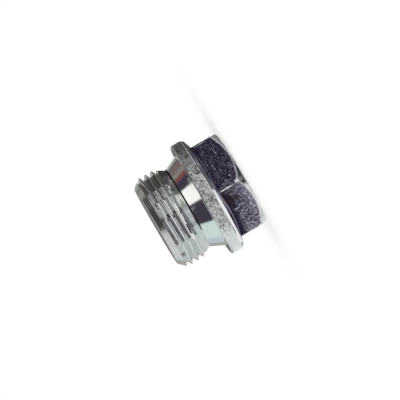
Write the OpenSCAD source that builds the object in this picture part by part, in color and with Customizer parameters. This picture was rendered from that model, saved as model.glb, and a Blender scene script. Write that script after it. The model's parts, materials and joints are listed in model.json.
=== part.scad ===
// Oil drain plug: one steel piece with a hexagon head, a bevelled collar,
// a relief groove under the collar and a shank for a fine metric thread.
// It stands on its head with the shank up, as it sits in the floor of a sump.
// Millimetres. Z runs along the plug, from the top of the head to the end of the shank.

/* [Hexagon head] */
// Width of the hexagon across its flats
hex_af = 22; // [17:0.5:23]
// Height of a flat at its middle, from the top of the head to the collar
hex_h = 6.25; // [4:0.05:12]
// Diameter of the flat circle on top of the head
crown_d = 21.2; // [14:0.1:22.8]
// Slope of the chamfer that trims the corners, measured from the top of the head
crown_slope = 40; // [20:1:50]

/* [Collar] */
// Outer diameter of the collar
collar_d = 27; // [26:0.5:36]
// Thickness of the collar from its head-side chamfer to the seat
collar_t = 2.5; // [1.2:0.1:6]
// Slope of the face that rises from the collar to the flats
collar_slope = 20; // [5:1:30]
// Width of the chamfer on the head side of the rim, across the plug
rim_chamfer_w = 0.5; // [0.1:0.05:0.8]
// Height of that chamfer, along the plug
rim_chamfer_h = 0.65; // [0.1:0.05:1.5]
// Radius of the rim's edge on the seat side
rim_round = 0.45; // [0.1:0.05:0.8]

/* [Relief groove] */
// Diameter where the groove's cone would meet the flat seat under the collar
cone_d = 22.4; // [21.5:0.1:23.5]
// Slope of that cone, measured from the axis
cone_slope = 26; // [20:1:40]
// Radius between the cone and the seat
seat_fillet = 0.4; // [0.1:0.05:0.6]
// Diameter at the bottom of the groove
groove_d = 19.2; // [18:0.1:20.4]
// Radius of the groove's bottom
groove_round = 0.4; // [0.2:0.05:0.8]
// Slope of the thread's run-out, measured from the axis
runout_slope = 30; // [25:1:60]

/* [Shank] */
// Outer diameter of the thread
thread_d = 22; // [21:0.1:23]
// Length of the shank from the seat to its end
shank_l = 11.3; // [10:0.1:40]
// Diameter of the flat end of the shank
end_d = 18.7; // [16:0.1:20.5]
// Slope of the lead-in chamfer at the end, measured from the axis
lead_slope = 43; // [30:1:60]

/* [Hidden] */
$fn = 96;

hexagon_sides = 6;
arc_steps = 8;
// How far the collar's face runs on inside the flats
collar_root = 2;
// How far the cone that trims the corners runs past them
crown_over = 1;
plating = [0.78, 0.80, 0.82];

flat_r = hex_af / 2;
corner_r = flat_r / cos(180 / hexagon_sides);
crown_r = crown_d / 2;
collar_r = collar_d / 2;
cone_r = cone_d / 2;
groove_r = groove_d / 2;
thread_r = thread_d / 2;
end_r = end_d / 2;

// Levels along the plug
root_z = hex_h - collar_root * tan(collar_slope);
face_edge_r = collar_r - rim_chamfer_w;
face_edge_z = hex_h + (face_edge_r - flat_r) * tan(collar_slope);
rim_z = face_edge_z + rim_chamfer_h;
seat_z = rim_z + collar_t;
end_z = seat_z + shank_l;
lead_z = end_z - (thread_r - end_r) / tan(lead_slope);

// Centre of the radius between the cone and the seat, touching both
fillet_r = cone_r + seat_fillet * (1 / cos(cone_slope) - tan(cone_slope));
fillet_z = seat_z + seat_fillet;

// Centre of the groove's bottom radius, touching the cone and the run-out
bottom_r = groove_r + groove_round;
bottom_z = seat_z + groove_round * sin(cone_slope)
    + (cone_r - bottom_r + groove_round * cos(cone_slope)) / tan(cone_slope);
runout_r = bottom_r - groove_round * cos(runout_slope);
runout_z = bottom_z + groove_round * sin(runout_slope);
thread_z = runout_z + (thread_r - runout_r) / tan(runout_slope);

// Points of an arc about a centre, between two angles
function arc(centre, radius, from, to) =
    [for (i = [0:arc_steps])
        let (a = from + (to - from) * i / arc_steps)
            centre + radius * [cos(a), sin(a)]];

// Half section of everything turned about the axis: radius, then level
turned_section = concat(
    [[0, root_z],
     [flat_r - collar_root, root_z],
     [face_edge_r, face_edge_z],
     [collar_r, rim_z]],
    arc([collar_r - rim_round, seat_z - rim_round], rim_round, 0, 90),
    arc([fillet_r, fillet_z], seat_fillet, 270, 180 + cone_slope),
    arc([bottom_r, bottom_z], groove_round, 180 + cone_slope, 180 - runout_slope),
    [[thread_r, thread_z],
     [thread_r, lead_z],
     [end_r, end_z],
     [0, end_z]]);

// Half section of the cone that trims the corners of the hexagon
crown_section = [
    [0, 0],
    [crown_r, 0],
    [corner_r + crown_over, (corner_r + crown_over - crown_r) * tan(crown_slope)],
    [corner_r + crown_over, rim_z + crown_over],
    [0, rim_z + crown_over]];

// The hexagon, with a flat to each side of the X axis and its corners trimmed
module hexagon_head() {
    intersection() {
        rotate([0, 0, 180 / hexagon_sides])
            cylinder(r = corner_r, h = rim_z, $fn = hexagon_sides);
        rotate_extrude()
            polygon(crown_section);
    }
}

// The collar, seat, groove and shank
module turned_body() {
    rotate_extrude()
        polygon(turned_section);
}

// The whole plug, forged and turned from one blank
module drain_plug() {
    color(plating)
        union() {
            hexagon_head();
            turned_body();
        }
}

drain_plug();
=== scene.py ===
import json
import math

import bpy
import numpy as np
from mathutils import Matrix, Vector


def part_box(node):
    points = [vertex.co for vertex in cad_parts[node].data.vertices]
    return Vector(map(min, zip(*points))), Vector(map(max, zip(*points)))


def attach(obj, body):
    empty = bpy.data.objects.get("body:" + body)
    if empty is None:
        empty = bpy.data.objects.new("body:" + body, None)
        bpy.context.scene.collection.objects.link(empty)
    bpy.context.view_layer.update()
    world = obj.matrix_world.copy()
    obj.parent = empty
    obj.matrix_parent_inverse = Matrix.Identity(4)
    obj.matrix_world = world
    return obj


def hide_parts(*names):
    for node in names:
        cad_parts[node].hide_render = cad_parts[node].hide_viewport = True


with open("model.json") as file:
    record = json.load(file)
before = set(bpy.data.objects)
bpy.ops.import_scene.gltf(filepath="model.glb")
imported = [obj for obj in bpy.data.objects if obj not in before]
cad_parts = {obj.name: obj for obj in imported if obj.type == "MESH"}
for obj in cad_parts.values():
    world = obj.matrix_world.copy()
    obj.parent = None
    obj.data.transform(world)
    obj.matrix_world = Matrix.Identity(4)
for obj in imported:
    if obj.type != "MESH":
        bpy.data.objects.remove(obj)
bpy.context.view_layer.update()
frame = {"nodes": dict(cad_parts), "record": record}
mm = 0.001  # sizes below are in millimetres, the scene is in metres
mounts = {mount["name"]: mount for mount in frame["record"]["mounts"]}
print("frame loaded:", ", ".join(frame["nodes"]))


# The forged and turned body. The collar, the shank and the seat take their size from the frame.
plugBody = {
    "hexAf": 22.0, "hexH": 6.25,                        # across the flats, height of a flat at its middle
    "crownD": 21.2, "crownSlope": 40.0,                 # flat top of the head and the chamfer round it
    "collarSlope": 20.0,                                # face between the flats and the rim
    "rimChamferW": 0.5, "rimChamferH": 0.65, "rimRound": 0.45,
    "coneD": 22.4, "coneSlope": 26.0, "seatFillet": 0.4,
    "grooveD": 19.2, "grooveRound": 0.4, "runoutSlope": 30.0,
    "endD": 18.7, "leadSlope": 43.0,
    "cornerRound": 0.65, "edgeRound": 0.12, "flatFillet": 0.3, "endRound": 0.3,  # softened edges
    "creaseAngle": 25.0,                                # sharper turns than this stay crisp
    "columnStep": 1.6,                                  # degrees between columns away from the corners
    "cornerOffsets": (0, 0.25, 0.5, 0.75, 1.0, 1.25, 1.49, 1.8, 2.4, 3.2),  # columns beside a corner
    "endSteps": 5, "endRings": (0.95, 0.75, 0.5, 0.25),  # rows round the end's edge, rings on its face
}
# The rolled thread, right-hand
thread = {
    "pitch": 1.5, "crestZ": 18.985,                     # level of a crest on the side that faces the camera
    "flankLean": 31.0, "crestRound": 0.15,              # slope of a flank from the radius, soft crest edge
    "crestShare": 0.125,                                # flat of the crest, as a share of the pitch
    "arcSteps": 3, "flankSteps": 4,                     # rows round a crest or a root, and down a flank
    "runIn": 0.02,                                      # shortest face left at either end
}
# Bright wear along the edges of the head and the rim
wornEdges = {
    "corners": (1.0, 0.5, 0.8, 0.65, 0.9, 1.0),         # the six upright corners, from the front one round +X
    # distance from an edge at which its wear ends, and at which it is full
    "line": (0.15, 0.05), "patch": (0.56, 0.16), "arc": (0.192, 0.072), "rim": (0.195, 0.045),
    # levels at which wear beside a corner starts and is full: on one side, on the other, and at its top
    "lineLevels": (2.6, 3.8), "otherLevels": (2.0, 2.8), "patchLevels": (3.0, 2.1),
    "otherLine": 0.32, "patchWear": 0.75,               # beside full wear on the first side
}

hexSides = 6
hexSector = 360.0 / hexSides
plugLow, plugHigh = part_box("drain_plug")
collarR = (plugHigh[0] - plugLow[0]) / 2 / mm
endZ = plugHigh[2] / mm
threadR = mounts["thread"]["dims"]["r_mm"]
seatZ = mounts["sealing_seat"]["pos_m"][2] / mm


def tanDeg(angle):
    return math.tan(math.radians(angle))


# Level of the crown's chamfer at a radius
def crownLevel(radius):
    return (radius - plugBody["crownD"] / 2) * tanDeg(plugBody["crownSlope"])


# Level of the collar's sloped face at a radius
def collarLevel(radius):
    return plugBody["hexH"] + (radius - plugBody["hexAf"] / 2) * tanDeg(plugBody["collarSlope"])


# Level at which the lead-in chamfer starts
def leadLevel():
    return endZ - (threadR - plugBody["endD"] / 2) / tanDeg(plugBody["leadSlope"])


# Angles round the plug from the corner that faces the camera, closer together at the six corners
def columnAngles():
    offsets = list(plugBody["cornerOffsets"])
    last, middle = offsets[-1], hexSector / 2
    steps = round((middle - last) / plugBody["columnStep"])
    offsets += [last + (middle - last) * (i + 1) / steps for i in range(steps)]
    half = np.array(offsets)
    whole = np.concatenate([half, hexSector - half[-2:0:-1]])
    return np.radians(np.concatenate([whole + hexSector * side for side in range(hexSides)]))


# Distance from the axis to the hexagon with its upright corners rounded
def hexRadius(angles):
    sector = math.radians(hexSector)
    flatR = plugBody["hexAf"] / 2
    soft = plugBody["cornerRound"]
    fromCorner = np.minimum(angles % sector, sector - angles % sector)
    flat = flatR / np.cos(sector / 2 - fromCorner)
    centre = (flatR - soft) / math.cos(sector / 2)
    arc = centre * np.cos(fromCorner) + np.sqrt(np.maximum(soft**2 - (centre * np.sin(fromCorner))**2, 0))
    meets = math.atan2(soft * math.sin(sector / 2), centre + soft * math.cos(sector / 2))
    return np.where(fromCorner < meets, arc, flat)


# Rows of points that round the corner between two straight runs of the section
def roundCorner(before, corner, after, radius, steps):
    back = before - corner
    ahead = after - corner
    back = back / np.linalg.norm(back, axis=1, keepdims=True)
    ahead = ahead / np.linalg.norm(ahead, axis=1, keepdims=True)
    half = np.arccos(np.clip((back * ahead).sum(1), -1, 1)) / 2
    inward = (back + ahead) / np.linalg.norm(back + ahead, axis=1, keepdims=True)
    centre = corner + inward * (radius / np.sin(half))[:, None]
    first = corner + back * (radius / np.tan(half))[:, None] - centre
    last = corner + ahead * (radius / np.tan(half))[:, None] - centre
    sweep = math.pi - 2 * half
    rows = []
    for i in range(steps + 1):
        a = np.sin(sweep * (1 - i / steps)) / np.sin(sweep)
        b = np.sin(sweep * i / steps) / np.sin(sweep)
        rows.append(centre + first * a[:, None] + last * b[:, None])
    return rows


# The section from the middle of the head to the thread's run-out, one row of points for each ring
def sectionRings(angles):
    p = plugBody
    hexR = hexRadius(angles)
    even = np.ones_like(hexR)

    def at(r, z):
        return np.stack([r * even, z * even], 1)

    faceEdgeR = collarR - p["rimChamferW"]
    faceEdgeZ = collarLevel(faceEdgeR)
    coneR = p["coneD"] / 2
    coneTan, runTan = tanDeg(p["coneSlope"]), tanDeg(p["runoutSlope"])
    groove = grooveSizes()
    coneAtRunout = coneR - (groove["runoutZ"] - seatZ) * coneTan
    crossZ = groove["runoutZ"] + (coneAtRunout - groove["runoutR"]) / (coneTan + runTan)
    crossR = coneR - (crossZ - seatZ) * coneTan
    # corner of the section, its radius, steps round it, rows on the run before it, zone of that run
    corners = [
        (at(0, 0), 0, 0, 0, "crown"),
        (at(p["crownD"] / 2, 0), p["edgeRound"], 4, 4, "crown"),
        (at(hexR, crownLevel(hexR)), p["edgeRound"], 4, 3, "crown"),
        (at(hexR, collarLevel(hexR)), p["flatFillet"], 5, 12, "flats"),
        (at(faceEdgeR, faceEdgeZ), p["edgeRound"], 3, 2, "collarFace"),
        (at(collarR, faceEdgeZ + p["rimChamferH"]), p["edgeRound"], 3, 2, "collarFace"),
        (at(collarR, seatZ), p["rimRound"], 8, 5, "rim"),
        (at(coneR, seatZ), p["seatFillet"], 6, 2, "neck"),
        (at(crossR, crossZ), p["grooveRound"], 6, 6, "neck"),
        (at(threadR, groove["threadZ"]), 0, 0, 0, "neck"),
    ]
    rings, zones = [], []
    for i in range(1, len(corners) - 1):
        corner, radius, steps, rows, zone = corners[i]
        arc = roundCorner(corners[i - 1][0], corner, corners[i + 1][0], radius, steps)
        start = rings[-1] if rings else corners[0][0]
        for k in range(1, rows + 1):
            share = (1 - math.cos(math.pi * k / (rows + 1))) / 2  # closer together at both ends
            rings.append(start + (arc[0] - start) * share)
            zones.append(zone)
        rings += arc
        zones += [zone] * (steps + 1)
    return rings, zones


# Where the groove's bottom radius ends and the thread begins
def grooveSizes():
    p = plugBody
    cone, run = math.radians(p["coneSlope"]), math.radians(p["runoutSlope"])
    soft = p["grooveRound"]
    bottomR = p["grooveD"] / 2 + soft
    downCone = (p["coneD"] / 2 - bottomR + soft * math.cos(cone)) / math.tan(cone)
    bottomZ = seatZ + soft * math.sin(cone) + downCone
    runoutR = bottomR - soft * math.cos(run)
    runoutZ = bottomZ + soft * math.sin(run)
    return {"runoutR": runoutR, "runoutZ": runoutZ, "threadZ": runoutZ + (threadR - runoutR) / math.tan(run)}


# One pitch of the thread's section: distance along the axis from a crest, and depth below it
def threadSection():
    pitch, soft = thread["pitch"], thread["crestRound"]
    arcSteps, flankSteps = thread["arcSteps"], thread["flankSteps"]
    lean = math.radians(thread["flankLean"])
    turn = math.pi / 2 - lean
    crestHalf = pitch * thread["crestShare"] / 2
    rootR = pitch * math.sqrt(3) / 12  # a sixth of the height of the sharp triangle
    rootCentre = (pitch / 2 - crestHalf - rootR / math.cos(lean)) / math.tan(lean)
    edge = soft * math.tan(turn / 2)
    points = [(0.0, 0.0)]
    for i in range(arcSteps + 1):
        a = turn * i / arcSteps
        points.append((crestHalf - edge + soft * math.sin(a), soft * (1 - math.cos(a))))
    flankStart = points[-1][0]
    flankEnd = pitch / 2 - rootR * math.cos(lean)
    for i in range(1, flankSteps):
        along = flankStart + (flankEnd - flankStart) * i / flankSteps
        points.append((along, (along - crestHalf) / math.tan(lean)))
    for i in range(arcSteps + 1):
        a = lean + turn * i / arcSteps
        points.append((pitch / 2 - rootR * math.cos(a), rootCentre + rootR * math.sin(a)))
    down = np.array(points)
    up = np.stack([-down[-2:0:-1, 0], down[-2:0:-1, 1]], 1)
    return np.concatenate([up, down])


# Radius that the run-out, the crests and the lead-in chamfer leave for the thread at a level
def shankRadius(level):
    groove = grooveSizes()
    return np.interp(level, [groove["runoutZ"], groove["threadZ"], leadLevel(), endZ],
                     [groove["runoutR"], threadR, threadR, plugBody["endD"] / 2])


# Helical rows from the run-out to the end: level and radius for each row and column
def threadRows(angles):
    pitch = thread["pitch"]
    section = threadSection()
    startZ = grooveSizes()["runoutZ"]
    firstTurn = math.floor((startZ - thread["crestZ"]) / pitch) - 1
    lastTurn = math.ceil((endZ - thread["crestZ"]) / pitch) + 1
    turns = np.arange(firstTurn, lastTurn + 1)
    level = (thread["crestZ"] + turns[:, None] * pitch + section[None, :, 0]).reshape(-1)
    depth = np.tile(section[:, 1], len(turns))
    z = level[:, None] + pitch * angles[None, :] / (2 * math.pi)
    cut = threadR - depth[:, None] + 0 * z
    room = shankRadius(z)
    r = np.minimum(cut, room)
    # where a flank meets the run-out or the chamfer, the nearer row moves onto the line where they cross
    gap = cut - room
    crosses = (gap[:-1] * gap[1:]) < 0
    share = np.where(crosses, gap[:-1] / np.where(crosses, gap[:-1] - gap[1:], 1), 0)
    crossZ = z[:-1] + share * (z[1:] - z[:-1])
    lowerNearer = share < 0.5
    moves = ((crosses & lowerNearer, slice(None, -1)), (crosses & ~lowerNearer, slice(1, None)))
    for move, rows in moves:
        z[rows][move] = crossZ[move]
        r[rows][move] = shankRadius(crossZ[move])
    return z, r, len(section)


# 0 at low, 1 at high
def ramp(value, low, high):
    return np.clip((value - low) / (high - low), 0, 1)


# How worn each point is: beside the upright corners, along the trimmed arcs and round the rim's chamfer
def edgeWear(points):
    p, w = plugBody, wornEdges
    place = np.array(points)
    radius, level = np.hypot(place[:, 0], place[:, 1]), place[:, 2]
    sector = math.radians(hexSector)
    around = np.arctan2(place[:, 1], place[:, 0]) + math.pi / 2
    turn = around % sector
    fromCorner = np.minimum(turn, sector - turn) * radius
    hexR = hexRadius(turn)
    rimZ = collarLevel(collarR - p["rimChamferW"]) + p["rimChamferH"]
    oneSide = ramp(level, *w["lineLevels"])
    otherSide = w["otherLine"] * ramp(level, *w["otherLevels"])
    lines = ramp(np.abs(fromCorner - p["cornerRound"] / 2), *w["line"])
    lines = lines * np.where(turn > sector / 2, oneSide, otherSide)
    patch = w["patchWear"] * ramp(fromCorner, *w["patch"]) * ramp(level, *w["patchLevels"])
    corner = np.floor(around / sector + 0.5).astype(int) % hexSides
    upright = np.maximum(lines, patch) * np.array(w["corners"])[corner] * (radius > p["hexAf"] / 2)
    arc = ramp(np.hypot(level - crownLevel(hexR), radius - hexR), *w["arc"])
    rim = ramp(np.hypot(level - rimZ, radius - collarR), *w["rim"])
    head = np.where(level < p["hexH"], np.maximum(upright, arc), 0)
    return np.maximum(head, rim).astype(np.float32)


# The whole plug as one closed mesh
def makePlug():
    angles = columnAngles()
    columns = len(angles)
    around = angles - math.pi / 2  # the first column faces the camera, on -Y
    turnX, turnY = np.cos(around), np.sin(around)
    points, faces, zones = [], [], []

    def addRing(ring):
        first = len(points)
        for j in range(columns):
            points.append((ring[j, 0] * turnX[j], ring[j, 0] * turnY[j], ring[j, 1]))
        return [first + j for j in range(columns)]

    def addFace(corners, zone):
        kept = [c for k, c in enumerate(corners) if c != corners[k - 1]]
        if len(set(kept)) >= 3 and len(set(kept)) == len(kept):
            faces.append(kept)
            zones.append(zone)

    def bridge(lower, upper, zone):
        for j in range(columns):
            n = (j + 1) % columns
            addFace([lower[j], lower[n], upper[n], upper[j]], zone)

    rings, ringZones = sectionRings(angles)
    middle = len(points)
    points.append((0.0, 0.0, 0.0))
    below = addRing(rings[0])
    for j in range(columns):
        addFace([middle, below[(j + 1) % columns], below[j]], "crown")
    for ring, zone in zip(rings[1:], ringZones[1:]):
        above = addRing(ring)
        bridge(below, above, zone)
        below = above
    runoutRing = below

    def level(radius, height):
        return np.stack([np.full(columns, radius), np.full(columns, height)], 1)

    endR = plugBody["endD"] / 2
    endArc = roundCorner(level(threadR, leadLevel()), level(endR, endZ), level(0, endZ),
                         plugBody["endRound"], plugBody["endSteps"])
    endRing = addRing(endArc[0])
    stopZ = endArc[0][0, 1] - thread["runIn"]
    z, r, perTurn = threadRows(angles)
    rowCount = len(z)
    startZ = grooveSizes()["runoutZ"] + thread["runIn"]
    index = []
    for i in range(rowCount):
        row = []
        for j in range(columns):
            if z[i, j] <= startZ:
                row.append(runoutRing[j])
            elif z[i, j] >= stopZ:
                row.append(endRing[j])
            else:
                row.append(len(points))
                points.append((r[i, j] * turnX[j], r[i, j] * turnY[j], z[i, j]))
        index.append(row)

    def helixPoint(i, j):
        if j == columns:  # one turn on, a row carries on as the row one pitch above
            i, j = i + perTurn, 0
        return index[i][j] if i < rowCount else endRing[j]

    for i in range(rowCount - 1):
        for j in range(columns):
            lower = [helixPoint(i, j), helixPoint(i, j + 1)]
            upper = [helixPoint(i + 1, j + 1), helixPoint(i + 1, j)]
            addFace(lower + upper, "thread")

    below = endRing
    for ring in endArc[1:] + [level(endR * share, endZ) for share in plugBody["endRings"]]:
        above = addRing(ring)
        bridge(below, above, "end")
        below = above
    middle = len(points)
    points.append((0.0, 0.0, endZ))
    for j in range(columns):
        addFace([middle, below[j], below[(j + 1) % columns]], "end")

    mesh = bpy.data.meshes.new("drainPlugMesh")
    mesh.from_pydata([tuple(c * mm for c in point) for point in points], [], faces)
    mesh.polygons.foreach_set("use_smooth", [True] * len(faces))
    mesh.set_sharp_from_angle(angle=math.radians(plugBody["creaseAngle"]))
    wear = mesh.attributes.new("edgeWear", "FLOAT", "POINT")
    wear.data.foreach_set("value", edgeWear(points))
    mesh.update()
    piece = bpy.data.objects.new("drainPlugBody", mesh)
    bpy.context.scene.collection.objects.link(piece)
    print("plug mesh:", len(points), "points,", len(faces), "faces")
    return piece, zones


# Shader values written as sums and products
class Wire:
    def __init__(self, finish, socket):
        self.finish = finish
        self.socket = socket

    def maths(self, operation, first, second):
        return self.finish.node("ShaderNodeMath", {"operation": operation}, {0: first, 1: second})

    def __add__(self, other):
        return self.maths("ADD", self, other)

    def __radd__(self, other):
        return self.maths("ADD", other, self)

    def __sub__(self, other):
        return self.maths("SUBTRACT", self, other)

    def __rsub__(self, other):
        return self.maths("SUBTRACT", other, self)

    def __mul__(self, other):
        return self.maths("MULTIPLY", self, other)

    def __rmul__(self, other):
        return self.maths("MULTIPLY", other, self)

    def __pow__(self, other):
        return self.maths("POWER", self, other)

    def __rpow__(self, other):
        return self.maths("POWER", other, self)

    def __or__(self, other):  # the larger of two masks
        return self.maths("MAXIMUM", self, other)

    def __ror__(self, other):
        return self.maths("MAXIMUM", other, self)


# A material and its nodes
class Finish:
    def __init__(self, name):
        self.material = bpy.data.materials.new(name)
        self.material.use_nodes = True
        self.tree = self.material.node_tree
        self.tree.nodes.clear()

    def node(self, kind, settings, inputs, output=0):
        made = self.tree.nodes.new(kind)
        for name, value in settings.items():
            setattr(made, name, value)
        for name, value in inputs.items():
            if isinstance(value, Wire):
                self.tree.links.new(value.socket, made.inputs[name])
            else:
                made.inputs[name].default_value = value
        return Wire(self, made.outputs[output]) if made.outputs else None

    def place(self):  # position on the plug, in millimetres
        spot = self.node("ShaderNodeTexCoord", {}, {}, "Object")
        return self.node("ShaderNodeVectorMath", {"operation": "SCALE"}, {0: spot, "Scale": 1 / mm})

    def along(self, at, axis):
        return self.node("ShaderNodeSeparateXYZ", {}, {0: at}, axis)

    def radius(self, at):  # distance from the plug's axis
        x, y = self.along(at, "X"), self.along(at, "Y")
        return (x * x + y * y) ** 0.5

    def rings(self, at):  # position as radius and level only, for marks that run round the plug
        return self.node("ShaderNodeCombineXYZ", {}, {"X": self.radius(at), "Y": self.along(at, "Z")})

    def vector(self, operation, first, second, output=0):
        return self.node("ShaderNodeVectorMath", {"operation": operation}, {0: first, 1: second}, output)

    def away(self, at, spot):  # distance from a spot
        return self.vector("DISTANCE", at, spot, "Value")

    def stored(self, name):  # a value kept on the mesh
        return self.node("ShaderNodeAttribute", {"attribute_name": name}, {}, "Fac")

    def noise(self, at, scale, detail=2.0, roughness=0.5, output=0):
        return self.node("ShaderNodeTexNoise", {}, {
            "Vector": at, "Scale": scale, "Detail": detail, "Roughness": roughness}, output)

    def drift(self, at, sizes, detail=2.0):  # a noise about zero: its scale, then its spread
        scale, spread = sizes
        return spread * (self.noise(at, scale, detail) - 0.5)

    def step(self, value, low, high):  # 0 at low, 1 at high
        return self.node("ShaderNodeMapRange", {"interpolation_type": "SMOOTHSTEP"}, {
            "Value": value, "From Min": low, "From Max": high})

    def mask(self, at, cut, detail=2.0, roughness=0.5, more=None):  # a noise cut between two levels
        scale, low, high = cut
        level = self.noise(at, scale, detail, roughness)
        return self.step(level if more is None else level + more, low, high)

    def turned(self, at, angles, stretch):  # coordinates turned, then stretched along their own axes
        faced = self.node("ShaderNodeMapping", {}, {
            "Vector": at, "Rotation": tuple(math.radians(a) for a in angles)})
        return self.vector("MULTIPLY", faced, stretch)

    def bent(self, at, sizes):  # coordinates pushed about by a noise: its scale, then how far
        scale, amount = sizes
        push = self.vector("SUBTRACT", self.noise(at, scale, output="Color"), (0.5, 0.5, 0.5))
        return self.vector("ADD", at, self.vector("MULTIPLY", push, (amount, amount, amount)))

    def scratch(self, at, start, end, ends):  # 1 along a line between two points, 0 away from it
        run = Vector(end) - Vector(start)
        out = self.vector("SUBTRACT", at, start)
        share = self.vector("DOT_PRODUCT", out, run / run.length_squared, "Value")
        share = self.node("ShaderNodeClamp", {}, {"Value": share})
        nearest = self.node("ShaderNodeVectorMath", {"operation": "SCALE"}, {0: run, "Scale": share})
        return self.step(self.away(out, nearest), *ends)

    def blend(self, share, first, second):
        return self.node("ShaderNodeMix", {"data_type": "RGBA"}, {
            0: share, 6: self.paint(first), 7: self.paint(second)}, 2)

    def paint(self, colour):
        return colour if isinstance(colour, Wire) else (*colour, 1)

    def bump(self, height, depth=1.0):  # depth in millimetres
        return self.node("ShaderNodeBump", {}, {"Height": height, "Distance": depth * mm, "Strength": 1.0})

    def metal(self, colour, roughness, normal, metallic=1.0):
        return self.node("ShaderNodeBsdfPrincipled", {}, {
            "Base Color": self.paint(colour), "Metallic": metallic, "Roughness": roughness, "Normal": normal})

    def show(self, shader):
        self.node("ShaderNodeOutputMaterial", {}, {"Surface": shader})
        return self.material


# In the finishes below, a cut is the scale of a noise and the levels where the mask that it makes starts and
# is full. A drift is the scale of a noise about zero and its spread. A bend is the scale of a noise that
# pushes marks about and how far it pushes. Ends are where a mask starts and where it is full.

# The flats: dull zinc over the drawn skin of the bar, full of small knocks and scratches. The navy and plum
# base is darker than the turned zinc: partly the zinc's violet tint, partly painted shade for the dark
# surroundings that the flats reflect
flatSkin = {
    "navy": (0.385, 0.365, 0.50), "plum": (0.435, 0.38, 0.50), "tintCut": (0.4, 0.38, 0.62),
    "mark": (0.71, 0.66, 0.80), "edge": (0.95, 0.94, 0.95),
    "chalky": 0.47, "edgeChalk": 0.85,                  # bruised plating is paler and duller
    "roughness": 0.15, "markRoughness": 0.42, "markDepth": 0.015,
    "skinScale": 3.0, "skinHeight": 0.4,                # beside the height of a mark
    # stains: place, reach, colour, strength
    "stains": (((-2.4, -11.3, 4.8), 2.4, (0.28, 0.20, 0.14), 0.7),
               ((-2.2, -11.4, 2.6), 1.9, (0.56, 0.50, 0.74), 0.7)),
    "stainDrift": (1.1, 3.0), "stainCore": 0.2,
    # knocks gather in patches, more of them towards -X and the top of the head, and few beside the collar
    "denseRise": 1.3, "denseDrift": (0.45, 7.0), "denseEnds": (5.0, -5.0),
    "clearDrop": 0.8, "clearSide": (-2.0, 2.0), "clearDrift": (0.8, 1.6), "clearEnds": (6.1, 4.4),
    # each kind of mark: its cut, what gathering adds to the noise, strength, what gathering adds to that
    "netCells": 2.0, "netBend": (1.6, 0.8), "netEnds": (0.10, 0.02),
    "netCut": (1.5, 0.50, 0.68), "netGather": 0.18, "netShare": 0.38,
    "fineCut": (3.1, 0.53, 0.64), "fineShare": 0.30, "fineMore": 0.12,
    "speckCut": (3.0, 0.66, 0.72), "speckGather": 0.07, "speckShare": 0.7, "speckMore": 0.3,
    "strokeCut": (1.0, 0.61, 0.70), "strokeGather": 0.05, "strokeShare": 0.6, "strokeMore": 0.4,
    "strokeBend": (1.8, 0.5), "strokePatches": (0.9, 0.25, 0.55),
    # strokes: turn in degrees, then stretch along and across
    "strokes": (((0, 19, -29), (0.9, 3.8, 3.8)), ((0, -28, -33), (0.8, 3.9, 3.9)),
                ((0, 62, 29), (1.0, 3.6, 3.6)), ((0, -70, 25), (0.9, 3.8, 3.8))),
    # the deepest scratches: from, to, width
    "gouges": (((5.66, -9.43, 4.75), (4.35, -10.19, 4.57), 0.13),
               ((8.49, -7.80, 2.93), (7.18, -8.55, 2.68), 0.09),
               ((4.35, -10.19, 1.64), (2.94, -11.00, 1.18), 0.10),
               ((1.85, -11.63, 2.80), (1.80, -11.66, 2.75), 0.22),
               ((6.42, -8.99, 5.75), (5.77, -9.37, 5.66), 0.11),
               ((-5.22, -9.69, 5.42), (-5.18, -9.71, 4.33), 0.19),
               ((-5.18, -9.71, 4.33), (-4.70, -9.98, 3.20), 0.16),
               ((-5.87, -9.31, 1.60), (-5.60, -9.47, 1.55), 0.24),
               ((-6.97, -8.68, 4.60), (-7.95, -8.11, 4.25), 0.11)),
    "gougeBend": (1.3, 0.5), "gougeCore": 0.4,
    "worn": 0.95, "wornDrift": (2.2, 0.9), "wornEnds": (0.2, 0.75),
}


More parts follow.
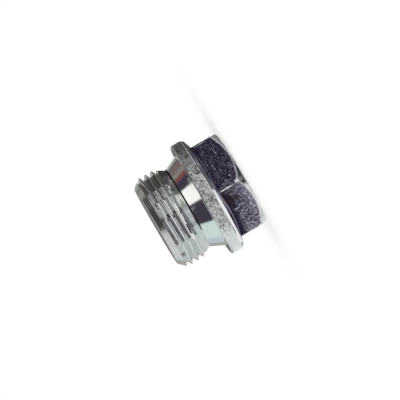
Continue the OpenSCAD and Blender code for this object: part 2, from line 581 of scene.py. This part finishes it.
def flatFinish():
    s = flatSkin
    f = Finish("scuffedFlats")
    at = f.place()
    x, z = f.along(at, "X"), f.along(at, "Z")
    # navy and plum: the violet zinc tint, kept darker than the turned zinc as painted shade
    tint = f.blend(f.mask(at, s["tintCut"], 3.0), s["navy"], s["plum"])
    blotch = f.drift(at, s["stainDrift"], 3.0)
    for spot, reach, colour, strength in s["stains"]:
        stain = f.step(f.away(at, spot) + blotch, reach, s["stainCore"] * reach)
        tint = f.blend(strength * stain, tint, colour)
    dense = f.step(x + s["denseRise"] * z + f.drift(at, s["denseDrift"]), *s["denseEnds"])
    cells = f.node("ShaderNodeTexVoronoi", {"feature": "DISTANCE_TO_EDGE"}, {
        "Vector": f.bent(at, s["netBend"]), "Scale": s["netCells"]})
    net = f.step(cells, *s["netEnds"]) * f.mask(at, s["netCut"], 3.0, more=s["netGather"] * dense)
    fine = f.mask(at, s["fineCut"], 3.0, 0.65)
    specks = f.mask(at, s["speckCut"], more=s["speckGather"] * dense)
    worms = f.bent(at, s["strokeBend"])
    strokes = 0.0
    for angles, stretch in s["strokes"]:
        laid = f.turned(worms, angles, stretch)
        strokes = strokes | f.mask(laid, s["strokeCut"], more=s["strokeGather"] * dense)
    strokes = strokes * f.mask(at, s["strokePatches"])
    marks = (s["netShare"] * net
             | (s["fineShare"] + s["fineMore"] * dense) * fine
             | (s["speckShare"] + s["speckMore"] * dense) * specks
             | (s["strokeShare"] + s["strokeMore"] * dense) * strokes)
    beside = z - s["clearDrop"] * f.step(x, *s["clearSide"]) + f.drift(at, s["clearDrift"])
    marks = marks * f.step(beside, *s["clearEnds"])
    near = f.bent(at, s["gougeBend"])
    for start, end, width in s["gouges"]:
        marks = marks | f.scratch(near, start, end, (width, s["gougeCore"] * width))
    worn = s["worn"] * f.step(f.stored("edgeWear") + f.drift(at, s["wornDrift"], 3.0), *s["wornEnds"])
    colour = f.blend(worn, f.blend(marks, tint, s["mark"]), s["edge"])
    rough = s["roughness"] + (s["markRoughness"] - s["roughness"]) * (marks | worn)
    height = marks + s["skinHeight"] * f.noise(at, s["skinScale"], 3.0)
    chalk = s["chalky"] * marks | s["edgeChalk"] * worn
    return f.show(f.metal(colour, rough, f.bump(height, s["markDepth"]), 1 - chalk))


# Bright zinc on the turned surfaces: fine rings from the tool, a faint drift from teal to violet
zinc = {
    "teal": (0.81, 0.85, 0.84), "violet": (0.85, 0.84, 0.88), "tintCut": (0.3, 0.36, 0.64),
    "edge": (0.92, 0.92, 0.92), "dull": (0.45, 0.46, 0.46), "dullCut": (0.9, 0.45, 0.7),
    "ringRoughness": (0.75, 0.5), "dullRoughness": 0.1,  # share without rings, what rings and dullness add
    # each surface: roughness, scale and depth of rings and of pits, how dull, how chalky where worn
    "crownZinc": (0.24, (5.0, 0.008), (2.4, 0.08), 0.85, 0.5),
    "collarZinc": (0.09, (6.0, 0.003), (1.5, 0.006), 0.0, 0.0),
    "endZinc": (0.18, (5.0, 0.012), (1.8, 0.012), 0.0, 0.0),
}


def turnedFinish(name):
    s = zinc
    roughness, (ringScale, ringDepth), (pitScale, pitDepth), dulled, chalky = s[name]
    f = Finish(name)
    at = f.place()
    tint = f.blend(f.mask(at, s["tintCut"], 3.0), s["teal"], s["violet"])
    lines = f.noise(f.rings(at), ringScale, 3.0, 0.6)
    pits = f.noise(at, pitScale, 3.0, 0.6)
    dull = dulled * f.mask(at, s["dullCut"], 4.0)
    wear = f.stored("edgeWear")
    colour = f.blend(wear, f.blend(dull, tint, s["dull"]), s["edge"])
    base, more = s["ringRoughness"]
    rough = roughness * (base + more * lines) + s["dullRoughness"] * dull
    return f.show(f.metal(colour, rough, f.bump(ringDepth * lines + pitDepth * pits), 1 - chalky * wear))


# The rim is left as rolled: a fine pebbled skin, rubbed smooth towards -X, with a bright edge to its chamfer.
# Its chalky bloom is raised towards -X as painted highlight and lowered towards +X as painted shade
rimSkin = {
    "pale": (0.96, 0.97, 0.98), "dark": (0.24, 0.25, 0.26), "edge": (0.95, 0.95, 1.0),
    "grain": 3.5, "grainEnds": (0.525, 0.42), "depth": 0.14,
    "patchScale": 0.7, "grainPatch": 0.25, "wornPatch": 0.8,  # patches with more grain and more wear
    "sideDrift": (0.8, 2.0),                            # blurs the ends below, which are places along X
    # painted light by side: the pale chalky bloom grows towards -X as painted highlight and drops towards +X
    # as painted shade
    "chalky": 0.41, "shadedSideEnds": (4.5, 10.0), "shadedSideChalk": 0.08, "litSideEnds": (1.0, -5.0), "litSideMore": 0.3,
    "roughness": 0.31, "smoothRoughness": 0.22, "smoothEnds": (-7.2, -9.5), "rubbed": 0.9,
    "ringScale": 5.0, "ringHeight": 0.05,               # beside the height of a pebble
    "worn": 0.95, "wornEnds": (0.15, 0.65), "edgeChalk": 0.75,
}


def rimFinish():
    s = rimSkin
    f = Finish("pebbledRim")
    at = f.place()
    x = f.along(at, "X") + f.drift(at, s["sideDrift"], 3.0)
    smooth = f.step(x, *s["smoothEnds"])
    left = 1 - s["rubbed"] * smooth  # what rubbing has left of the pebbles
    # chalky bloom with painted light: paler towards -X, darker towards +X
    bloomAndSideLight = s["chalky"] * (1 - (1 - s["shadedSideChalk"]) * f.step(x, *s["shadedSideEnds"]))
    bloomAndSideLight = bloomAndSideLight * (1 + s["litSideMore"] * f.step(x, *s["litSideEnds"]))
    pebble = f.noise(at, s["grain"], 3.0, 0.65)
    patch = f.noise(at, s["patchScale"]) - 0.5
    grains = f.step(pebble + s["grainPatch"] * patch, *s["grainEnds"]) * left
    worn = s["worn"] * f.step(f.stored("edgeWear") + s["wornPatch"] * patch, *s["wornEnds"])
    colour = f.blend(worn, f.blend(grains, s["pale"], s["dark"]), s["edge"])
    rough = s["roughness"] + (s["smoothRoughness"] - s["roughness"]) * smooth
    height = pebble * left + s["ringHeight"] * f.noise(f.rings(at), s["ringScale"])
    chalk = bloomAndSideLight * (1 - grains) * (1 - smooth) | s["edgeChalk"] * worn
    return f.show(f.metal(colour, rough, f.bump(height, s["depth"]), 1 - chalk))


# The thread: fine lines along the flanks, roots that are duller and darkened with painted shade, and a
# lead-in chamfer that is turned clean
threadSkin = {
    # root: colour of the painted shade in the thread's roots, and of the one dark fleck of dirt
    "crest": (0.82, 0.84, 0.84), "root": (0.30, 0.31, 0.29),
    "roughness": 0.06, "rootShadeRoughness": 0.04, "pitRoughness": 0.06,
    "lineScale": 6.0, "lineStretch": 0.015, "lineDepth": 0.0003, "pitScale": 2.6, "pitDepth": 0.0005,
    "rootShade": 0.25, "rootShadeEnds": (0.6, 1.0), "rootShadePits": 0.5, "rootShadeLevels": (15.2, 16.0),
    "leadEnds": (1.9, 1.7), "leadLines": 0.2, "leadPits": 0.028,  # the chamfer, measured down from the end
    "fleck": (-8.2, -6.2, 19.42), "fleckEnds": (0.62, 0.35), "fleckPits": 0.9,
}


def threadFinish():
    s = threadSkin
    f = Finish("rolledThread")
    at = f.place()
    x, y, z = (f.along(at, axis) for axis in "XYZ")
    radius = f.radius(at)
    drawn = f.node("ShaderNodeCombineXYZ", {}, {
        "X": radius, "Y": s["lineStretch"] * x, "Z": s["lineStretch"] * y})
    lines = f.noise(drawn, s["lineScale"], 2.0, 0.6)
    pits = f.noise(at, s["pitScale"], 3.0)
    stray = pits - 0.5
    lead = f.step(z, *(endZ - below for below in s["leadEnds"]))
    # painted shade: the thread is darkened towards the root colour where it is deep, above the lower levels
    # and off the chamfer
    deep = f.step(threadR - radius + s["rootShadePits"] * stray, *s["rootShadeEnds"])
    rootShade = deep * f.step(z, *s["rootShadeLevels"]) * (1 - lead)
    fleck = f.step(f.away(at, s["fleck"]) + s["fleckPits"] * stray, *s["fleckEnds"])
    colour = f.blend(s["rootShade"] * rootShade | fleck, s["crest"], s["root"])
    rough = s["roughness"] + s["rootShadeRoughness"] * rootShade + s["pitRoughness"] * stray
    lineHeight = s["lineDepth"] * lines * (1 - (1 - s["leadLines"]) * lead)
    height = lineHeight + (s["pitDepth"] + s["leadPits"] * lead) * pits
    return f.show(f.metal(colour, rough, f.bump(height)))


# The neck and the groove: polished by the tool, with painted shade: a dark line at the bottom of the groove
neckSkin = {
    "zinc": (0.80, 0.82, 0.81), "violet": (0.79, 0.77, 0.82), "violetShare": 0.25,
    # groove: colour of the painted shade along the bottom of the groove, which fades out towards -X
    "groove": (0.03, 0.03, 0.03), "grooveShadeEnds": (0.085, 0.015), "grooveShadeClouds": 0.08,  # above its bottom
    "grooveShadeSide": (-6.0, -3.5), "grooveShadeRoughness": 0.4,    # the line stops towards -X
    "roughness": 0.1, "lineRoughness": (0.7, 0.6), "lineScale": 8.0, "lineDepth": 0.0045,
    "cloudScale": 0.5, "cloudDepth": 0.004, "haze": 0.02, "hazeCut": (1.4, 0.35, 0.75),
}


def neckFinish():
    s = neckSkin
    f = Finish("polishedNeck")
    at = f.place()
    lines = f.noise(f.rings(at), s["lineScale"], 3.0, 0.6)
    cloud = f.noise(at, s["cloudScale"], 3.0)
    grooveShadeR = [plugBody["grooveD"] / 2 + end for end in s["grooveShadeEnds"]]
    # painted shade: a dark line along the groove's bottom
    grooveShade = f.step(f.radius(at) + s["grooveShadeClouds"] * (cloud - 0.5), *grooveShadeR)
    grooveShade = grooveShade * f.step(f.along(at, "X"), *s["grooveShadeSide"])
    colour = f.blend(grooveShade, f.blend(s["violetShare"] * cloud, s["zinc"], s["violet"]), s["groove"])
    base, more = s["lineRoughness"]
    rough = s["roughness"] * (base + more * lines) + s["grooveShadeRoughness"] * grooveShade
    haze = s["haze"] * f.mask(at, s["hazeCut"], 4.0, 0.7)
    height = s["lineDepth"] * lines + s["cloudDepth"] * cloud
    return f.show(f.metal(colour, rough, f.bump(height), 1 - haze))


piece, zones = makePlug()
zoneFinish = {
    "crown": turnedFinish("crownZinc"),
    "flats": flatFinish(),
    "collarFace": turnedFinish("collarZinc"),
    "rim": rimFinish(),
    "neck": neckFinish(),
    "thread": threadFinish(),
    "end": turnedFinish("endZinc"),
}
order = list(zoneFinish)
for material in zoneFinish.values():
    piece.data.materials.append(material)
piece.data.polygons.foreach_set("material_index", [order.index(zone) for zone in zones])
shade = piece.modifiers.new("evenShade", "WEIGHTED_NORMAL")
shade.mode = "FACE_AREA_WITH_ANGLE"
shade.weight = 50
shade.keep_sharp = True
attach(piece, "root")
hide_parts("drain_plug")
print("finishes set:", ", ".join(order))


# Studio: floor, soft white surroundings, one softbox, and cards that show only in the metal
studio = {
    "floorHalf": 3.0, "cardRadius": 0.3,                # metres
    "floorTone": 0.8, "floorGlow": 0.55, "floorDrop": 0.05,
    "cardRows": 19, "horizonSoft": 1.0,                 # soft edge of cards that reach below the horizon
    # each card: from and to, in degrees from the camera towards -X; from and to above the horizon;
    # colour; nearness; width of the soft edge in degrees
    "cards": {
        "darkFront": ((-60, 63), (-4, 55.5), (0.045, 0.039, 0.060), 1.0, 1.5),
        "darkLeft": ((58, 72), (-4, 34), (0.045, 0.039, 0.060), 0.995, 1.5),
        "darkRight": ((-85, -58), (-4, 49.0), (0.045, 0.039, 0.060), 1.0, 1.5),
        "lilacFront": ((-10, 40), (53, 86), (0.55, 0.56, 0.61), 0.99, 1.5),
        "lilacLeft": ((34, 76), (52.5, 86), (0.64, 0.66, 0.69), 0.985, 1.5),
        "lilacGap": ((4, 72), (61.5, 73), (0.20, 0.20, 0.21), 0.975, 1.5),
        "creamFront": ((-64, -6), (55, 80), (0.34, 0.36, 0.30), 1.015, 2.0),
        "oliveRight": ((-112, -58), (35, 66), (0.17, 0.18, 0.16), 1.02, 3.0),
        "lineFront": ((-54, -12), (13.5, 23.5), (0.9, 0.91, 0.89), 0.98, 3.0),
        "lineUpper": ((-54, -12), (33.5, 39.0), (0.50, 0.51, 0.49), 0.98, 1.0),
        "lineLeft": ((0, 63), (14.0, 19.5), (0.30, 0.30, 0.31), 0.98, 1.0),
        "lineRight": ((-82, -48), (2.0, 8.0), (0.13, 0.13, 0.13), 0.975, 1.0),
        "sideFlag": ((-160, -70), (-4, 32), (0.20, 0.165, 0.155), 1.03, 6.0),
        "beigeSide": ((-165, -121), (28, 62), (0.31, 0.295, 0.26), 1.05, 4.0),
        "darkSide": ((-130, -100), (47, 70), (0.09, 0.088, 0.082), 1.015, 3.0),
        "redHint": ((-97, -83), (27, 43), (0.21, 0.062, 0.066), 0.985, 2.0),
        "beigeHint": ((-113, -92), (22, 44), (0.265, 0.245, 0.215), 0.99, 3.0),
        "beigeGap": ((-127, -110), (24, 42), (0.16, 0.14, 0.13), 0.995, 3.0),
        "pinkHint": ((-128, -120), (14, 36), (0.26, 0.12, 0.125), 0.98, 3.0),
        "lowSide": ((-150, -78), (-4, 18), (0.12, 0.12, 0.11), 0.97, 3.0),
        "tealSide": ((-195, -142), (8, 24), (0.41, 0.43, 0.40), 0.96, 4.0),
        "greySide": ((-190, -140), (6, 60), (0.22, 0.225, 0.21), 1.0, 6.0),
        "paleSide": ((58, 122), (8, 52), (0.70, 0.82, 0.80), 1.04, 4.0),
        "paleLow": ((68, 150), (-4, 10), (0.45, 0.475, 0.48), 1.02, 2.0),
        "blueSide": ((114, 146), (4, 36), (0.56, 0.645, 0.685), 1.03, 4.0),
        "greyTop": ((50, 175), (30, 84), (0.66, 0.65, 0.66), 1.06, 5.0),
        "backFlag": ((138, 200), (-4, 30), (0.40, 0.41, 0.40), 1.01, 6.0),
        "endFlag": ((172, 188), (0, 24), (0.15, 0.15, 0.15), 0.95, 2.0),
        "endGlow": ((158, 201), (27, 80), (1.0, 1.0, 0.98), 0.955, 2.0),
    },
    # cards laid on the floor: from and to in degrees, inner and outer radius in millimetres, colour;
    # each lies a little above the one before it
    "lowLayer": 0.01, "lowSoft": 5.0,
    "lowCards": {
        "lowFront": ((-4, 68), (24, 34), (0.95, 0.95, 0.95)),
        "lowDark": ((-4, 68), (34, 112), (0.06, 0.06, 0.065)),
        "lowDarkNear": ((-50, 42), (21, 24), (0.06, 0.06, 0.065)),
        "lowThread": ((-4, 70), (112, 140), (0.95, 0.95, 0.95)),
        "lowLine": ((-56, 0), (24, 29), (1.0, 1.0, 0.98)),
        "lowLineDark": ((-56, 0), (29, 136), (0.02, 0.02, 0.02)),
        "lowThreadRight": ((-84, -53), (24, 56), (0.44, 0.44, 0.44)),
        "lowRightFar": ((-84, -53), (56, 136), (0.32, 0.32, 0.32)),
        "lowFrontFar": ((-50, 47), (136, 290), (0.60, 0.60, 0.61)),
        "lowLeft": ((43, 80), (136, 290), (0.92, 0.92, 0.93)),
        "lowRight": ((-80, -46), (136, 290), (0.40, 0.40, 0.41)),
        "lowBeside": ((-170, -80), (25, 290), (0.05, 0.048, 0.045)),
        "lowPaleNear": ((68, 190), (22, 136), (0.64, 0.66, 0.65)),
        "lowPale": ((74, 190), (136, 290), (0.92, 0.94, 0.93)),
        "lowCollar": ((-100, -3), (13.8, 17.0), (0.105, 0.103, 0.122)),
        "lowCone": ((-100, -32), (17.0, 21.0), (0.13, 0.127, 0.15)),
        "lowCollarRight": ((-78, -44), (13.8, 17.0), (0.21, 0.21, 0.235)),
        "lowCollarBack": ((-235, -70), (13.8, 30), (0.09, 0.085, 0.09)),
        "lowNear": ((32, 68), (17.0, 21.0), (0.055, 0.05, 0.066)),
        "lowRim": ((6, 80), (14.0, 17.0), (1.0, 1.0, 1.0)),
        "lowFillet": ((-10, 75), (12.4, 14.0), (0.05, 0.045, 0.06)),
        "lowCrown": ((-42, 10), (10.6, 13.2), (0.07, 0.07, 0.078)),
        "lowCorner": ((-95, -32), (10.6, 13.2), (0.24, 0.245, 0.25)),
    },
    # upright cards close to the plug, dark ones for the flats and the chamfer, pale ones for the thread:
    # degrees from the camera; distance; ends to the side and in height, in millimetres; colour
    "nearCards": {
        "flagRight": (-60, 15.7, (-11.4, 3.0), (0.2, 6.4), (0.031, 0.024, 0.049)),
        "flagLeft": (60, 16.3, (-3.0, 10.4), (0.2, 6.4), (0.031, 0.024, 0.049)),
        "flagFront": (0, 15.7, (-0.9, 1.0), (0.2, 6.5), (0.031, 0.024, 0.049)),
        "hintFlag": (-84, 20.0, (-5.5, 5.5), (22.0, 29.0), (0.10, 0.10, 0.10)),
        "lineNear": (-33, 20.0, (-8.2, 7.4), (15.0, 20.2), (0.50, 0.51, 0.49)),
        "lineHigh": (30, 20.0, (-10.0, 10.0), (27.5, 33.0), (0.80, 0.80, 0.83)),
    },
    # flat card overhead, in metres: outer and inner lines of its soft border in X, then in Y; height; colour
    "overhead": ((-0.072, -0.032, 0.22, 0.27), (-0.10, -0.06, 0.14, 0.20), 0.29, (0.062, 0.061, 0.056)),
    # softbox: middle and size in degrees, as the cards are; distance in metres; radiance; colour
    "softbox": ((-31.5, 47.3), (52.0, 19.5), 0.28, 1.1, (1.0, 1.0, 0.95)),
}


# Direction from the plug, by an angle from the camera towards -X and an angle above the horizon
def towards(turn, lift=0.0):
    return Vector((-math.sin(turn) * math.cos(lift), -math.cos(turn) * math.cos(lift), math.sin(lift)))


def linkCard(name, points, faces, colour, cover):
    f = Finish(name + "Paper")
    lit = f.node("ShaderNodeEmission", {}, {"Color": f.paint(colour), "Strength": 1.0})
    clear = f.node("ShaderNodeBsdfTransparent", {}, {})
    f.show(f.node("ShaderNodeMixShader", {}, {0: f.stored("cover"), 1: clear, 2: lit}))
    mesh = bpy.data.meshes.new(name + "Mesh")
    mesh.from_pydata(points, [], faces)
    share = mesh.attributes.new("cover", "FLOAT", "POINT")
    share.data.foreach_set("value", np.array(cover, dtype=np.float32))
    mesh.materials.append(f.material)
    card = bpy.data.objects.new(name, mesh)
    bpy.context.scene.collection.objects.link(card)
    card.visible_camera = False
    card.visible_diffuse = False
    card.visible_shadow = False


def gridFaces(rows, columns):
    return [(i * columns + j, i * columns + j + 1, (i + 1) * columns + j + 1, (i + 1) * columns + j)
            for i in range(rows - 1) for j in range(columns - 1)]


# Steps across a card, with a soft border at each end
def cardSteps(ends, soft):
    inner = np.linspace(ends[0] + soft, ends[1] - soft, studio["cardRows"])
    return np.radians(np.concatenate([[ends[0]], inner, [ends[1]]])), [0.0] + [1.0] * len(inner) + [0.0]


def makeCards():
    middle = Vector((0, 0, seatZ * mm))
    for name, (across, upright, colour, nearness, soft) in studio["cards"].items():
        radius = studio["cardRadius"] * nearness
        lifts, liftCover = cardSteps(upright, min(soft, studio["horizonSoft"]) if upright[0] < 0 else soft)
        turns, turnCover = cardSteps(across, soft)
        points = [towards(turn, lift) * radius + middle for lift in lifts for turn in turns]
        cover = [low * side for low in liftCover for side in turnCover]
        linkCard(name, points, gridFaces(len(lifts), len(turns)), colour, cover)
    for layer, (name, (across, reach, colour)) in enumerate(studio["lowCards"].items()):
        height = Vector((0, 0, studio["lowLayer"] * (layer + 1)))
        turns, cover = cardSteps(across, studio["lowSoft"])
        points = [(towards(turn) * radius + height) * mm for radius in reach for turn in turns]
        linkCard(name, points, gridFaces(2, len(turns)), colour, cover * 2)
    for name, (turn, distance, sides, levels, colour) in studio["nearCards"].items():
        facing = towards(math.radians(turn))
        aside = Vector((-facing.y, facing.x, 0))
        points = [(facing * distance + aside * side + Vector((0, 0, level))) * mm
                  for level in levels for side in sides]
        linkCard(name, points, gridFaces(2, 2), colour, [1.0] * len(points))
    xs, ys, height, colour = studio["overhead"]
    fade = [0.0, 1.0, 1.0, 0.0]
    linkCard("overhead", [(x, y, height) for y in ys for x in xs], gridFaces(len(ys), len(xs)), colour,
             [a * b for b in fade for a in fade])


def makeSoftbox():
    (turn, lift), (wide, high), distance, radiance, colour = studio["softbox"]
    turn, lift = math.radians(turn), math.radians(lift)
    toLamp = towards(turn, lift)
    lamp = bpy.data.lights.new("softbox", "AREA")
    lamp.shape = "RECTANGLE"
    lamp.size = distance * math.radians(wide) * math.cos(lift)
    lamp.size_y = distance * math.radians(high)
    lamp.energy = radiance * math.pi * lamp.size * lamp.size_y
    lamp.color = colour
    holder = bpy.data.objects.new("softbox", lamp)
    bpy.context.scene.collection.objects.link(holder)
    holder.location = toLamp * distance + Vector((0, 0, seatZ * mm))
    holder.rotation_euler = toLamp.to_track_quat("Z", "Y").to_euler()
    holder.visible_camera = False


def makeFloor():
    f = Finish("paleFloor")
    path = {ray: f.node("ShaderNodeLightPath", {}, {}, ray)
            for ray in ("Is Camera Ray", "Is Glossy Ray", "Is Transmission Ray")}
    seen = path["Is Camera Ray"] | path["Is Glossy Ray"] | path["Is Transmission Ray"]
    tone = studio["floorTone"]
    paper = f.node("ShaderNodeBsdfDiffuse", {}, {"Color": f.blend(seen, (tone, tone, tone), (1, 1, 1))})
    white = f.node("ShaderNodeEmission", {}, {"Color": (1, 1, 1, 1), "Strength": 1.0})
    f.show(f.node("ShaderNodeMixShader", {}, {0: studio["floorGlow"] * seen, 1: paper, 2: white}))
    half = studio["floorHalf"]
    low = -studio["floorDrop"] * mm
    mesh = bpy.data.meshes.new("floorMesh")
    mesh.from_pydata([(x, y, low) for y in (-half, half) for x in (-half, half)], [], gridFaces(2, 2))
    mesh.materials.append(f.material)
    floor = bpy.data.objects.new("floor", mesh)
    bpy.context.scene.collection.objects.link(floor)


def makeWorld():
    world = bpy.data.worlds.new("softWhite")
    bpy.context.scene.world = world
    world.use_nodes = True
    world.node_tree.nodes["Background"].inputs["Color"].default_value = (1, 1, 1, 1)
    world.node_tree.nodes["Background"].inputs["Strength"].default_value = 1.0


makeFloor()
makeCards()
makeSoftbox()
makeWorld()
print("studio set")


# Camera: close to level, a little towards the end of the shank, and rolled as the photograph is
view = {
    "distance": 0.5, "elevation": 2.9, "azimuth": 0.8, "roll": 120.2,
    "pixelsPerMm": 4.594, "imagePixels": 400, "sensor": 36.0, "aim": (0.195, 0.0, 10.22),
}


def makeCamera():
    lift, turn = math.radians(view["elevation"]), math.radians(view["azimuth"])
    across = Vector((math.cos(turn), math.sin(turn), 0))
    back = Vector((math.sin(turn) * math.cos(lift), -math.cos(turn) * math.cos(lift), math.sin(lift)))
    up = back.cross(across)
    spin = math.radians(view["roll"])
    right = across * math.cos(spin) - up * math.sin(spin)
    top = across * math.sin(spin) + up * math.cos(spin)
    aim = Vector(view["aim"]) * mm
    data = bpy.data.cameras.new("photoCamera")
    data.sensor_width = view["sensor"]
    data.lens = view["sensor"] * view["distance"] / (view["imagePixels"] / view["pixelsPerMm"] * mm)
    camera = bpy.data.objects.new("photoCamera", data)
    bpy.context.scene.collection.objects.link(camera)
    camera.matrix_world = Matrix.Translation(aim + back * view["distance"]) @ Matrix(
        (right, top, back)).transposed().to_4x4()
    bpy.context.scene.camera = camera


makeCamera()
bpy.context.scene.view_settings.view_transform = "Standard"
print("camera set")
